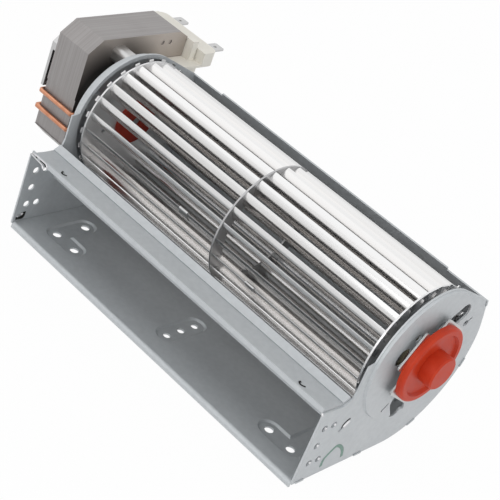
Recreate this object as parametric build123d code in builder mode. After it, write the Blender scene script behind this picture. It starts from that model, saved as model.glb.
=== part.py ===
from build123d import *

import os
from math import acos, atan, atan2, cos, degrees, hypot, radians, sin, tan

# Cross flow fan with a shaded pole motor on one end.
# The rotor axis runs along X, with the motor at -X and the free bearing at +X.
# The air outlet faces -Y and the mounting floor faces -Z.
# The origin is the middle floor hole, on the underside of the floor's pressed pads.

os.makedirs("parts", exist_ok=True)

# Impeller
ring_radius = 30.0
impeller_length = 170.6
blade_count = 24
blade_sheet = 0.4
blade_depth = 5.5
blade_sweep = 9.5
blade_tip_inset = 0.4
first_blade_angle = 87.8
disc_sheet = 0.8
mid_ring_sheet = 0.8
mid_ring_lap = 1.0
slot_clearance = 0.06
tab_root_inset = 1.0
tab_chord = 3.0
tab_width = 2.6
tab_overhang = 0.9
clip_length = 5.0
clip_sheet = 0.4
key_hole_radius = 1.2
key_hole_reach = 18.1
key_hole_angle = 187.5

# Housing sheet metal, drops are measured below the rotor axis
plate_sheet = 0.8
casing_sheet = 0.8
side_gap = 3.55
fit_gap = 0.1
floor_gap = 18.0
scroll_gap = 10.0
scroll_shift = 3.0
outlet_reach = 22.3
crest_gap = 10.25
crest_angle = 25.6
crest_rise = 1.2
crest_rise_start = -70.0
crest_rise_end = 68.0
inlet_gap = 1.4
inlet_end_angle = 170.0
cheek_gap = 4.8
cheek_step = 0.7
cheek_foot_drop = 6.9
shoulder_gap = 5.6
shoulder_drop = 10.7
valley_gap = 10.1
valley_drop = 12.7
duct_top_drop = 11.9
bend_radius = 0.4
lip_bend_radius = 0.9
lip_drop = 2.0
corner_radius = 0.8
casing_tab_width = 4.5
casing_tab_proud = 0.4
casing_floor_tabs = (-48.0, -12.0)
casing_arc_tabs = (-62.0, -13.0)
casing_crest_tab = 3.0

# Pressed pads and holes in the floor
pad_drop = 0.8
pad_width = 9.2
pad_flare = 1.0
pad_wall = 0.5
middle_row_reach = 28.9
row_pitch = 8.3
corner_hole_x = 75.0
inner_hole_x = 62.7
corner_hole_radius = 2.0
middle_hole_radius = 1.6

# Holes in the front of both end plates
side_hole_radius = 1.6
side_hole_pitch = 8.85
side_hole_front = 5.5
side_hole_column = 5.5
side_hole_top = 21.15

# Stabiliser
nose_gap = 6.2
nose_drop = 10.6
crease_run = 3.2
crease_drop = 12.5
lip_top_drop = 10.0
nose_lap_sheet = 0.6
tongue_bend_drop = 14.0
tongue_lean = 1.6
tongue_foot_drop = 27.3
hem_run = 3.7
hem_rise = 4.4
hem_slot_clearance = 0.2
hem_tab_length = 3.4
stabiliser_hole_x = 72.5
stabiliser_hole_inset = 4.6
stabiliser_hole_radius = 0.9

# Motor end plate dish
dish_rim_gap = 0.2
dish_depth = 4.8
dish_draft = 1.2
dish_bend = 1.0
dish_hole_radius = 12.0
dish_boss_radius = 5.0
dish_boss_height = 2.4
dish_boss_places = ((-21.2, 7.9), (21.2, -7.9))

# Bearing end plate pad and its openings
pad_circle_gap = 0.9
pad_depth = 1.0
pad_draft = 0.5
lug_hole = (14.6, 165.0, 4.3)
vent_holes = ((15.0, 128.0), (14.8, 72.0))
vent_hole_radius = 1.8
slot_width_wide = 8.0
upper_slot = ((13.0, 13.5), (18.3, 16.8))
lower_slot = ((-2.0, -22.0), (2.5, -29.0))
slit_width = 1.0
upper_slit = ((24.5, 9.6), (29.0, 12.6))
lower_slit = ((-8.0, -22.0), (-10.6, -24.6))
slit_eye_radius = 1.6

# Rubber bush and its retainer, depths from the bearing plate's outer face
bush_neck_radius = 9.4
bush_flange_radius = 17.7
bush_flange_start = 4.4
bush_flange_end = 7.4
bush_flange_round = 1.3
bush_recess_radius = 13.9
bush_recess_flare = 0.8
bush_recess_depth = 1.2
bush_boss_radius = 7.5
bush_boss_end = 12.8
bush_corner = 0.6
bush_inner_radius = 12.0
bush_inner_sheet = 1.5
bush_pocket_start = 0.4
retainer_sheet = 0.8
retainer_hole_radius = 10.5
retainer_collar_wall = 0.8
retainer_reach = 18.6
retainer_width = 18.0
retainer_corner = 1.0
retainer_turn = 58.0
retainer_legs = ((49.0, 18.4), (-99.0, 20.0))
retainer_leg_width = 2.0
retainer_leg_length = 5.0

# Shafts and bearings
shaft_radius = 2.5
running_clearance = 0.03
press_clearance = 0.02
bearing_radius = 5.9
bearing_length = 8.0
bearing_play = 0.1
stub_flange_radius = 7.5
stub_flange_sheet = 1.4
stub_rivet_radius = 4.0
stub_rivet_height = 1.2
hub_radius = 9.6
hub_length = 7.6
hub_neck_radius = 8.4
hub_flange_radius = 11.4
hub_flange_sheet = 1.2

# Motor stack, seen from the bearing end
stack_gap = 16.25
stack_depth = 20.0
stack_half_height = 30.0
stack_front = 18.2
stack_back = 42.5
stack_front_chamfer_y = 7.4
stack_front_chamfer_z = 6.4
stack_back_chamfer_y = 5.4
stack_back_chamfer_z = 3.0
stack_step = 0.5
bore_radius = 12.6
window_start = 18.6
window_half_height = 17.0
yoke_width = 13.0
yoke_fit = 0.02
air_gap = 0.4
rotor_end_ring = 0.5
rotor_end_step = 0.8
shaft_overhang = 8.0
shaft_tip_inset = 0.6
shaft_chamfer = 0.5
dimple_radius = 1.1
dimple_depth = 0.5
dimple_places = ((26.9, 25.2), (31.7, 25.2))

# Shading rings of copper wire
ring_wire_radius = 1.1
inner_ring = (6.6, 12.4)
outer_ring = (14.7, 4.0)
ring_slit = 0.8
ring_fit = 0.05

# Bearing brackets and their screws
bracket_width = 8.0
bracket_arm_sheet = 2.4
bracket_hub_radius = 8.4
bracket_lip_radius = 4.5
bracket_lip_sheet = 0.6
front_bearing_length = 7.0
front_arm_gap = 3.6
front_hub_start = 1.6
front_hub_end = 9.8
rear_bearing_length = 4.0
rear_plate_gap = 1.4
rear_plate_sheet = 1.5
rear_hub_end = 6.2
wing_low = -4.7
wing_pad_low = 14.0
wing_top = 26.0
wing_corner = 8.5
wing_reach = 6.5
wing_notch_reach = 2.2
wing_notch_top = 17.5
foot_height = 7.6
foot_centre = 22.5
foot_corner = 2.4
screw_radius = 1.5
screw_clearance = 0.2
screw_head_radius = 2.7
screw_head_height = 1.6
screw_head_corner = 0.4
screw_slot_width = 0.8
screw_slot_depth = 1.0
screw_grip = 6.0
mount_screw_grip = 4.0
retainer_clip_radius = 7.2
retainer_clip_sheet = 0.5
washer_radius = 4.6
washer_sheet = 0.6

# Coil
bobbin_fit = 0.2
bobbin_wall = 1.2
bobbin_side = 9.9
bobbin_front = 8.0
bobbin_back = 9.6
bobbin_half_height = 16.8
winding_inset = 2.6
winding_gap = 0.1
winding_corner = 4.0
terminal_wall_depth = 3.4
terminal_wall_top = 26.5
terminal_wall_half = 14.7
terminal_seam = 0.8
terminal_block_back = 56.0
terminal_block_top = 22.8
terminal_block_corner = 4.0
bobbin_corner = 1.5
terminal_offsets = (-12.0, 13.5)
terminal_height = 21.3
terminal_width = 6.3
terminal_sheet = 0.8
terminal_tip = 63.8
terminal_nose = 0.7
terminal_buried = 5.0
terminal_fit = 0.05
terminal_hole_radius = 0.8
terminal_hole_inset = 3.6

# Places that follow from the sizes above
floor_drop = ring_radius + floor_gap
axis_z = floor_drop + pad_drop
axis_y = middle_row_reach
inner_half = impeller_length / 2 + side_gap
outer_half = inner_half + plate_sheet
scroll_radius = ring_radius + scroll_gap
scroll_centre = (scroll_shift, scroll_radius - floor_drop)
duct_front = ring_radius + outlet_reach
crest_radius = ring_radius + crest_gap
inlet_radius = ring_radius + inlet_gap
nose_reach = ring_radius + nose_gap
blade_tip_radius = ring_radius - blade_tip_inset
blade_root_radius = blade_tip_radius - blade_depth
blade_half = impeller_length / 2 - disc_sheet
dish_floor = -outer_half - dish_depth
stack_near = -outer_half - stack_gap
stack_far = stack_near - stack_depth
stack_middle = stack_near - stack_depth / 2
shaft_axis = Axis((0, axis_y, axis_z), (1, 0, 0))
axis_plane = Plane(origin=(0, axis_y, axis_z), x_dir=(1, 0, 0), z_dir=(0, -1, 0))


def across(x):
    """Sketch plane square to the rotor axis, with local x along Y and local y along Z."""
    return Plane(origin=(x, axis_y, axis_z), x_dir=(0, 1, 0), z_dir=(1, 0, 0))


def polar(radius, angle):
    """Point at a radius and an angle in degrees about the rotor axis."""
    return (radius * cos(radians(angle)), radius * sin(radians(angle)))


def blade_band(width):
    """Blade section from the root outwards, its tip swept towards the rotation."""
    with BuildSketch() as band:
        with BuildLine():
            tip = polar(blade_tip_radius, -blade_sweep)
            TangentArc((blade_root_radius, 0), tip, tangent=(1, 0))
        trace(line_width=width)
    return band.sketch


# The neck is the stretch of blade that passes through an end disc
neck_outer = blade_tip_radius - tab_root_inset
neck_inner = neck_outer - tab_chord
slot_width = blade_sheet + 2 * slot_clearance
blade_section = blade_band(blade_sheet)
blade_slot = blade_band(slot_width)

with BuildSketch() as neck_section:
    add(blade_section)
    Circle(neck_outer, mode=Mode.INTERSECT)
    Circle(neck_inner, mode=Mode.SUBTRACT)

with BuildSketch() as neck_slot:
    add(blade_slot)
    Circle(neck_outer + slot_clearance, mode=Mode.INTERSECT)
    Circle(neck_inner - slot_clearance, mode=Mode.SUBTRACT)

# The tab is folded over the disc towards the rim and stands a little proud of it
tab_length = ring_radius + tab_overhang - neck_inner - tab_root_inset
with BuildSketch() as tab_section:
    with Locations(Location((0, 0, 0), (0, 0, -blade_sweep / 2))):
        with Locations((ring_radius + tab_overhang - tab_length / 2, -tab_width / 4)):
            Rectangle(tab_length, tab_width)


def around_blades():
    return PolarLocations(0, blade_count, start_angle=first_blade_angle + blade_sweep)


with BuildPart() as impeller_blades:
    with BuildSketch(across(-blade_half)):
        with around_blades():
            add(blade_section)
    extrude(amount=2 * blade_half)
    for side in (-1, 1):
        with BuildSketch(across(side * blade_half)):
            with around_blades():
                add(neck_section.sketch)
        extrude(amount=side * (disc_sheet + slot_clearance + blade_sheet))
        with BuildSketch(across(side * (impeller_length / 2 + slot_clearance))):
            with around_blades():
                add(tab_section.sketch)
        extrude(amount=side * blade_sheet)
impeller_blades.part.label = "impeller_blades"
export_step(impeller_blades.part, "parts/impeller_blades.step")

# Two small key holes are punched in both end discs
key_holes = [polar(key_hole_reach, key_hole_angle), polar(-key_hole_reach, key_hole_angle)]

with BuildPart() as motor_end_disc:
    with BuildSketch(across(-impeller_length / 2)):
        Circle(ring_radius)
        Circle(hub_neck_radius + press_clearance, mode=Mode.SUBTRACT)
        with Locations(*key_holes):
            Circle(key_hole_radius, mode=Mode.SUBTRACT)
        with around_blades():
            add(neck_slot.sketch, mode=Mode.SUBTRACT)
    extrude(amount=disc_sheet)
motor_end_disc.part.label = "motor_end_disc"
export_step(motor_end_disc.part, "parts/motor_end_disc.step")

with BuildPart() as bearing_end_disc:
    with BuildSketch(across(impeller_length / 2)):
        Circle(ring_radius)
        Circle(shaft_radius + press_clearance, mode=Mode.SUBTRACT)
        with Locations(*key_holes):
            Circle(key_hole_radius, mode=Mode.SUBTRACT)
        with around_blades():
            add(neck_slot.sketch, mode=Mode.SUBTRACT)
    extrude(amount=-disc_sheet)
bearing_end_disc.part.label = "bearing_end_disc"
export_step(bearing_end_disc.part, "parts/bearing_end_disc.step")

with BuildPart() as mid_ring:
    with BuildSketch(across(-mid_ring_sheet / 2)):
        Circle(ring_radius)
        Circle(blade_root_radius - mid_ring_lap, mode=Mode.SUBTRACT)
        with around_blades():
            add(blade_slot, mode=Mode.SUBTRACT)
    extrude(amount=mid_ring_sheet)
mid_ring.part.label = "mid_ring"
export_step(mid_ring.part, "parts/mid_ring.step")

# Balance clips, bent over the tips of two blades
clip_places = ((6, -22.0), (7, 21.0))
clip_width = slot_width + 2 * clip_sheet
with BuildSketch() as clip_section:
    add(blade_band(clip_width))
    with Locations(polar(blade_tip_radius, -blade_sweep)):
        Circle(clip_width / 2)
    add(blade_slot, mode=Mode.SUBTRACT)
    Circle(blade_root_radius + blade_depth / 2, mode=Mode.SUBTRACT)
with BuildPart() as balance_clips:
    for step, station in clip_places:
        blade_angle = first_blade_angle + blade_sweep + step * 360 / blade_count
        with BuildSketch(across(station)):
            with Locations(Location((0, 0, 0), (0, 0, blade_angle))):
                add(clip_section.sketch)
        extrude(amount=clip_length)
balance_clips.part.label = "balance_clips"
export_step(balance_clips.part, "parts/balance_clips.step")

# Side view of the housing, measured from the rotor axis
crest = polar(crest_radius, crest_angle)
crest_run = crest[0] - scroll_centre[0]
crest_climb = crest[1] - scroll_centre[1]
tangent_angle = degrees(atan2(crest_climb, crest_run))
tangent_angle -= degrees(acos(scroll_radius / hypot(crest_run, crest_climb)))
inlet_start_angle = crest_angle + degrees(acos(inlet_radius / crest_radius))


def scroll_band(start, end_rise):
    """Casing sheet from a start point along the floor and up to the crest."""
    with BuildSketch() as band:
        with BuildLine():
            corner = (start[0], -floor_drop)
            FilletPolyline(start, corner, (scroll_shift, -floor_drop), radius=lip_bend_radius)
            scroll = JernArc(
                start=(scroll_shift, -floor_drop),
                tangent=(1, 0),
                radius=scroll_radius,
                arc_size=90 + tangent_angle,
            )
            crest_line = Line(scroll @ 1, crest)
            if end_rise:
                Line(crest, crest + crest_line.tangent_at(1) * end_rise)
            offset(amount=casing_sheet, side=Side.LEFT)
        make_face()
    return band.sketch


def tab_windows(clearance):
    """Where the casing's end tabs pass through the end plates."""
    width = casing_tab_width + 2 * clearance
    depth = 2 * (casing_sheet + clearance)
    crest_tab = 2 * (casing_crest_tab + clearance)
    with BuildSketch() as windows:
        with Locations(*[(y, -floor_drop) for y in casing_floor_tabs]):
            Rectangle(width, depth)
        with Locations(*[Location(scroll_centre, (0, 0, angle)) for angle in casing_arc_tabs]):
            with Locations((scroll_radius, 0)):
                Rectangle(depth, width)
        with Locations(Location(crest, (0, 0, tangent_angle))):
            Rectangle(depth, crest_tab)
    return windows.sketch


with BuildSketch() as plate_outline:
    with BuildLine():
        Line((-duct_front, -floor_drop), (scroll_shift, -floor_drop))
        plate_scroll = JernArc(
            start=(scroll_shift, -floor_drop),
            tangent=(1, 0),
            radius=scroll_radius,
            arc_size=90 + tangent_angle,
        )
        Line(plate_scroll @ 1, crest)
        Line(crest, polar(inlet_radius, inlet_start_angle))
        inlet = CenterArc((0, 0), inlet_radius, inlet_start_angle, inlet_end_angle - inlet_start_angle)
        Polyline(
            inlet @ 1,
            (-ring_radius - cheek_gap, (inlet @ 1).Y - cheek_step),
            (-ring_radius - cheek_gap, -cheek_foot_drop),
            (-ring_radius - shoulder_gap, -shoulder_drop),
            (-ring_radius - valley_gap, -valley_drop),
            (-duct_front, -duct_top_drop),
            (-duct_front, -floor_drop),
        )
    make_face()

side_holes = [
    (side_hole_front - duct_front, -side_hole_top),
    (side_hole_front - duct_front, -side_hole_top - side_hole_pitch),
    (side_hole_front - duct_front, -side_hole_top - 2 * side_hole_pitch),
    (side_hole_front + side_hole_column - duct_front, -side_hole_top),
    (side_hole_front + side_hole_column - duct_front, -side_hole_top - 2 * side_hole_pitch),
]

# Stabiliser section, from the front lip over the crease and down the tongue
tongue_foot = (-nose_reach + tongue_lean, -tongue_foot_drop)
hem_end = (tongue_foot[0] + hem_run, tongue_foot[1] + hem_rise)
with BuildSketch() as stabiliser_section:
    with BuildLine():
        FilletPolyline(
            (-duct_front, -lip_top_drop),
            (-duct_front, -crease_drop),
            (-nose_reach - crease_run, -crease_drop),
            (-nose_reach, -nose_drop),
            (-nose_reach, -tongue_bend_drop),
            tongue_foot,
            hem_end,
            radius=bend_radius,
        )
        offset(amount=casing_sheet, side=Side.LEFT)
    make_face()

# The nose is a folded lap, whose cut edge stands up along the crease
with BuildSketch() as nose_lap:
    with BuildLine():
        lap_slope = (crease_run, crease_drop - nose_drop)
        lap_lift = Vector(-lap_slope[1], lap_slope[0]).normalized() * casing_sheet
        lap_start = Vector(-nose_reach - crease_run, -crease_drop) + lap_lift
        Line(lap_start, Vector(-nose_reach, -nose_drop) + lap_lift)
        offset(amount=nose_lap_sheet, side=Side.LEFT)
    make_face()

# Casing: floor, scroll wall and crest, drawn in one sheet
lip_foot = (casing_sheet - duct_front, -floor_drop - lip_drop)
tab_reach = outer_half + casing_tab_proud
pad_top = Plane.XY.offset(pad_drop)
pad_slots = (
    ((corner_hole_x, 0), 90, 2 * row_pitch + pad_width),
    ((-corner_hole_x, 0), 90, 2 * row_pitch + pad_width),
    ((0, 0), 90, 2 * row_pitch + pad_width),
    (((corner_hole_x + inner_hole_x) / 2, -row_pitch), 0, corner_hole_x - inner_hole_x + pad_width),
    ((-(corner_hole_x + inner_hole_x) / 2, -row_pitch), 0, corner_hole_x - inner_hole_x + pad_width),
)
corner_places = [(x, y) for x in (-corner_hole_x, corner_hole_x) for y in (-row_pitch, row_pitch)]
inner_places = [(-inner_hole_x, -row_pitch), (inner_hole_x, -row_pitch)]
middle_places = [(0, -row_pitch), (0, 0), (0, row_pitch)]

with BuildPart() as scroll_casing:
    with BuildSketch(across(-tab_reach)):
        add(scroll_band(lip_foot, 0))
    extrude(amount=2 * tab_reach)
    with BuildSketch(across(crest_rise_start)):
        add(scroll_band(lip_foot, crest_rise))
    extrude(amount=crest_rise_end - crest_rise_start)
    for side in (-1, 1):
        with BuildSketch(across(side * (inner_half - fit_gap))):
            Rectangle(4 * scroll_radius, 4 * scroll_radius)
            add(tab_windows(0), mode=Mode.SUBTRACT)
        extrude(amount=side * 2 * side_gap, mode=Mode.SUBTRACT)
    with BuildSketch(pad_top):
        for centre, turn, length in pad_slots:
            with Locations(centre):
                SlotOverall(length + 2 * pad_flare, pad_width + 2 * pad_flare, rotation=turn)
    extrude(amount=-pad_drop, taper=degrees(atan(pad_flare / pad_drop)))
    with BuildSketch(pad_top.offset(casing_sheet)):
        for centre, turn, length in pad_slots:
            with Locations(centre):
                SlotOverall(
                    length + 2 * (pad_flare - pad_wall),
                    pad_width + 2 * (pad_flare - pad_wall),
                    rotation=turn,
                )
    extrude(
        amount=-pad_drop,
        taper=degrees(atan(pad_flare / pad_drop)),
        mode=Mode.SUBTRACT,
    )
    with BuildSketch(Plane.XY):
        with Locations(*corner_places, *inner_places):
            Circle(corner_hole_radius)
        with Locations(*middle_places):
            Circle(middle_hole_radius)
    extrude(amount=pad_drop + casing_sheet, mode=Mode.SUBTRACT)
scroll_casing.part.label = "scroll_casing"
export_step(scroll_casing.part, "parts/scroll_casing.step")

# Stabiliser, with a hem tab through each end plate
with BuildPart() as stabiliser:
    with BuildSketch(across(-inner_half + fit_gap)):
        add(stabiliser_section.sketch)
        add(nose_lap.sketch)
    extrude(amount=2 * (inner_half - fit_gap))
    with BuildSketch(across(-tab_reach)) as hem_tabs:
        with BuildLine():
            hem_line = Line(hem_end, tongue_foot)
            Line(hem_line @ 0, hem_line @ (hem_tab_length / hem_line.length))
            offset(amount=casing_sheet, side=Side.RIGHT)
        make_face()
    extrude(amount=2 * tab_reach)
    with BuildSketch(pad_top.offset(floor_drop - crease_drop)):
        with Locations(
            (-stabiliser_hole_x, axis_y + stabiliser_hole_inset - duct_front),
            (stabiliser_hole_x, axis_y + stabiliser_hole_inset - duct_front),
        ):
            Circle(stabiliser_hole_radius)
    extrude(amount=casing_sheet, mode=Mode.SUBTRACT)
stabiliser.part.label = "stabiliser"
export_step(stabiliser.part, "parts/stabiliser.step")

# Openings cut in both end plates
with BuildSketch() as hem_slot:
    with BuildLine():
        slot_line = Line(hem_end, tongue_foot)
        Line(slot_line @ 0, slot_line @ (hem_tab_length / slot_line.length))
        offset(amount=casing_sheet, side=Side.RIGHT)
    make_face()
    offset(amount=hem_slot_clearance)

with BuildSketch() as plate_cuts:
    with Locations(*side_holes):
        Circle(side_hole_radius)
    add(tab_windows(fit_gap))
    add(hem_slot.sketch)

# Motor end plate with its drawn dish
with BuildPart() as motor_end_plate:
    with BuildSketch(across(-outer_half)):
        add(plate_outline.sketch)
        add(plate_cuts.sketch, mode=Mode.SUBTRACT)
    extrude(amount=plate_sheet)
    with BuildSketch(across(-outer_half)):
        Circle(ring_radius + dish_rim_gap)
    extrude(amount=-dish_depth, taper=degrees(atan(dish_draft / dish_depth)))
    fillet(edges().group_by(Axis.X)[0], radius=dish_bend + plate_sheet)
    with BuildSketch(across(-inner_half)):
        Circle(ring_radius + dish_rim_gap - plate_sheet)
    extrude(
        amount=-dish_depth,
        taper=degrees(atan(dish_draft / dish_depth)),
        mode=Mode.SUBTRACT,
    )
    with BuildSketch(across(dish_floor)):
        with Locations(*dish_boss_places):
            Circle(dish_boss_radius)
    extrude(amount=dish_boss_height + plate_sheet)
    with BuildSketch(across(dish_floor)):
        with Locations(*dish_boss_places):
            Circle(dish_boss_radius - plate_sheet)
        with Locations(polar(foot_centre, 90), polar(foot_centre, -90)):
            Circle(screw_radius + screw_clearance)
        Circle(dish_hole_radius)
    extrude(amount=dish_boss_height, mode=Mode.SUBTRACT)
motor_end_plate.part.label = "motor_end_plate"
export_step(motor_end_plate.part, "parts/motor_end_plate.step")

# Bearing end plate with its raised round pad
pad_radius = ring_radius + pad_circle_gap
with BuildPart() as bearing_end_plate:
    with BuildSketch(across(inner_half)):
        add(plate_outline.sketch)
        add(plate_cuts.sketch, mode=Mode.SUBTRACT)
    extrude(amount=plate_sheet)
    with BuildSketch(across(outer_half)):
        Circle(pad_radius)
    extrude(amount=pad_depth, taper=degrees(atan(pad_draft / pad_depth)))
    with BuildSketch(across(inner_half)):
        Circle(pad_radius - plate_sheet / 2)
    extrude(
        amount=pad_depth,
        taper=degrees(atan(pad_draft / pad_depth)),
        mode=Mode.SUBTRACT,
    )
    with BuildSketch(across(inner_half)):
        Circle(bush_neck_radius)
        with Locations(polar(lug_hole[0], lug_hole[1])):
            Circle(lug_hole[2])
        with Locations(*[polar(radius, angle) for radius, angle in vent_holes]):
            Circle(vent_hole_radius)
        with Locations(upper_slit[0]):
            Circle(slit_eye_radius)
        for start, end in (upper_slot, lower_slot):
            with Locations(((start[0] + end[0]) / 2, (start[1] + end[1]) / 2)):
                SlotCenterToCenter(
                    hypot(end[0] - start[0], end[1] - start[1]),
                    slot_width_wide,
                    rotation=degrees(atan2(end[1] - start[1], end[0] - start[0])),
                )
        for start, end in (upper_slit, lower_slit):
            with Locations(((start[0] + end[0]) / 2, (start[1] + end[1]) / 2)):
                SlotCenterToCenter(
                    hypot(end[0] - start[0], end[1] - start[1]),
                    slit_width,
                    rotation=degrees(atan2(end[1] - start[1], end[0] - start[0])),
                )
    extrude(amount=plate_sheet + pad_depth, mode=Mode.SUBTRACT)
bearing_end_plate.part.label = "bearing_end_plate"
export_step(bearing_end_plate.part, "parts/bearing_end_plate.step")

# Rubber bush, turned profile from the closed boss to the flange inside the plate
pad_face = outer_half + pad_depth
pad_inner = pad_face - plate_sheet
bush_face = outer_half + bush_flange_end
bush_base = bush_face - bush_recess_depth
pocket_end = outer_half + bush_pocket_start + bearing_length + 2 * bearing_play
with BuildPart() as bearing_bush:
    with BuildSketch(axis_plane):
        with BuildLine():
            Polyline(
                (outer_half + bush_boss_end, 0),
                (outer_half + bush_boss_end, bush_boss_radius - bush_corner),
                (outer_half + bush_boss_end - bush_corner, bush_boss_radius),
                (bush_base, bush_boss_radius),
                (bush_base, bush_recess_radius),
                (bush_face, bush_recess_radius + bush_recess_flare),
                (bush_face, bush_flange_radius),
                (outer_half + bush_flange_start, bush_flange_radius),
                (outer_half + bush_flange_start, bush_neck_radius - fit_gap),
                (pad_inner, bush_neck_radius - fit_gap),
                (pad_inner, bush_inner_radius),
                (pad_inner - bush_inner_sheet, bush_inner_radius),
                (pad_inner - bush_inner_sheet, bearing_radius + bearing_play),
                (pocket_end, bearing_radius + bearing_play),
                (pocket_end, 0),
                close=True,
            )
        make_face()
        rim_corner = vertices().sort_by_distance((bush_face, bush_flange_radius, 0))[0]
        fillet(rim_corner, radius=bush_flange_round)
    revolve(axis=shaft_axis)
bearing_bush.part.label = "bearing_bush"
export_step(bearing_bush.part, "parts/bearing_bush.step")

# Pressed retainer behind the bush flange: four arms on a collar, two legs through the plate
retainer_face = outer_half + bush_flange_start
retainer_back = retainer_face - retainer_sheet
with BuildPart() as bush_retainer:
    with BuildSketch(across(retainer_back)):
        with Locations(Location((0, 0, 0), (0, 0, retainer_turn))):
            RectangleRounded(2 * retainer_reach, retainer_width, retainer_corner)
            RectangleRounded(retainer_width, 2 * retainer_reach, retainer_corner)
        Circle(retainer_hole_radius, mode=Mode.SUBTRACT)
    extrude(amount=retainer_sheet)
    with BuildSketch(across(retainer_back)):
        Circle(retainer_hole_radius + retainer_collar_wall)
        Circle(retainer_hole_radius, mode=Mode.SUBTRACT)
    extrude(amount=pad_face - retainer_back)
    with BuildSketch(across(retainer_back)):
        for angle, reach in retainer_legs:
            with Locations(Location((0, 0, 0), (0, 0, angle))):
                with Locations((reach - retainer_sheet / 2, 0)):
                    Rectangle(retainer_sheet, retainer_leg_width)
    extrude(amount=-retainer_leg_length)
bush_retainer.part.label = "bush_retainer"
export_step(bush_retainer.part, "parts/bush_retainer.step")

# Sintered bearing in the bush
bearing_start = outer_half + bush_pocket_start + bearing_play
with BuildPart() as end_bearing:
    with BuildSketch(across(bearing_start)):
        Circle(bearing_radius)
        Circle(shaft_radius + running_clearance, mode=Mode.SUBTRACT)
    extrude(amount=bearing_length)
    chamfer(edges().filter_by(GeomType.CIRCLE), length=bush_corner)
end_bearing.part.label = "end_bearing"
export_step(end_bearing.part, "parts/end_bearing.step")

# Stub shaft riveted to the end disc
disc_face = impeller_length / 2
with BuildPart() as stub_shaft:
    with BuildSketch(axis_plane):
        with BuildLine():
            Polyline(
                (disc_face - disc_sheet - stub_rivet_height, 0),
                (disc_face - disc_sheet - stub_rivet_height, stub_rivet_radius - bush_corner),
                (disc_face - disc_sheet, stub_rivet_radius),
                (disc_face - disc_sheet, shaft_radius),
                (disc_face, shaft_radius),
                (disc_face, stub_flange_radius),
                (disc_face + stub_flange_sheet, stub_flange_radius),
                (disc_face + stub_flange_sheet, shaft_radius),
                (pocket_end - bush_corner - bearing_play, shaft_radius),
                (pocket_end - bearing_play, shaft_radius - bush_corner),
                (pocket_end - bearing_play, 0),
                close=True,
            )
        make_face()
    revolve(axis=shaft_axis)
stub_shaft.part.label = "stub_shaft"
export_step(stub_shaft.part, "parts/stub_shaft.step")

# Rubber drive hub, buttoned into the motor end disc and gripping the motor shaft
hub_inner_face = disc_sheet - disc_face + hub_flange_sheet
hub_outer_face = -disc_face - hub_length
with BuildPart() as drive_hub:
    with BuildSketch(axis_plane):
        with BuildLine():
            Polyline(
                (hub_outer_face, shaft_radius + press_clearance),
                (hub_outer_face, hub_radius - bush_corner),
                (hub_outer_face + bush_corner, hub_radius),
                (-disc_face, hub_radius),
                (-disc_face, hub_neck_radius),
                (disc_sheet - disc_face, hub_neck_radius),
                (disc_sheet - disc_face, hub_flange_radius),
                (hub_inner_face - bush_corner, hub_flange_radius),
                (hub_inner_face, hub_flange_radius - bush_corner),
                (hub_inner_face, shaft_radius + press_clearance),
                close=True,
            )
        make_face()
    revolve(axis=shaft_axis)
drive_hub.part.label = "drive_hub"
export_step(drive_hub.part, "parts/drive_hub.step")

# Laminated C core of the motor, with a notch for every shading ring
ring_places = []
for turn in (0, 180):
    for drop, inner_reach in (inner_ring, outer_ring):
        ring_places.append((turn, drop, inner_reach))

with BuildPart() as lamination_stack:
    with BuildSketch(across(stack_far)):
        with BuildLine():
            Polyline(
                (-stack_front, stack_front_chamfer_z - stack_half_height),
                (stack_front_chamfer_y - stack_front, -stack_half_height),
                (stack_back - stack_back_chamfer_y, -stack_half_height),
                (stack_back, stack_back_chamfer_z - stack_half_height),
                (stack_back, -window_half_height),
                (window_start, -window_half_height),
                (window_start, window_half_height),
                (stack_back, window_half_height),
                (stack_back, stack_half_height - stack_back_chamfer_z),
                (stack_back - stack_back_chamfer_y, stack_half_height),
                (stack_front_chamfer_y - stack_front, stack_half_height),
                (-stack_front, stack_half_height - stack_front_chamfer_z),
                (-stack_front, 0),
                (stack_step - stack_front, 0),
                (stack_step - stack_front, stack_front_chamfer_z - stack_half_height),
                close=True,
            )
        make_face()
        Circle(bore_radius, mode=Mode.SUBTRACT)
        for turn, drop, inner_reach in ring_places:
            with Locations(Location((0, 0, 0), (0, 0, turn))):
                with Locations((-inner_reach, -drop)):
                    Circle(ring_wire_radius + ring_fit, mode=Mode.SUBTRACT)
                slit_angle = 180 + degrees(atan2(drop, inner_reach))
                slit_middle = (bore_radius + hypot(drop, inner_reach)) / 2
                slit_length = 2 * (hypot(drop, inner_reach) - bore_radius)
                with Locations(polar(slit_middle - ring_slit / 2, slit_angle)):
                    Rectangle(slit_length, ring_slit, rotation=slit_angle, mode=Mode.SUBTRACT)
        with Locations(polar(foot_centre, 90), polar(foot_centre, -90)):
            Circle(screw_radius + screw_clearance, mode=Mode.SUBTRACT)
    extrude(amount=stack_depth)
    with BuildSketch(across(stack_near)):
        with Locations(*dimple_places):
            Circle(dimple_radius)
    extrude(amount=-dimple_depth, mode=Mode.SUBTRACT)
lamination_stack.part.label = "lamination_stack"
export_step(lamination_stack.part, "parts/lamination_stack.step")

# Core bar through the coil, pressed between the arms of the C
with BuildPart() as coil_core:
    with BuildSketch(across(stack_far)):
        with Locations((stack_back - yoke_width / 2, 0)):
            Rectangle(yoke_width, 2 * (window_half_height - yoke_fit))
    extrude(amount=stack_depth)
coil_core.part.label = "coil_core"
export_step(coil_core.part, "parts/coil_core.step")

# Copper shading rings, each a closed loop round one corner of a pole
ring_lift = ring_wire_radius + ring_fit
ring_cut = ring_lift - ring_wire_radius * tan(radians(45 / 2))


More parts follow.
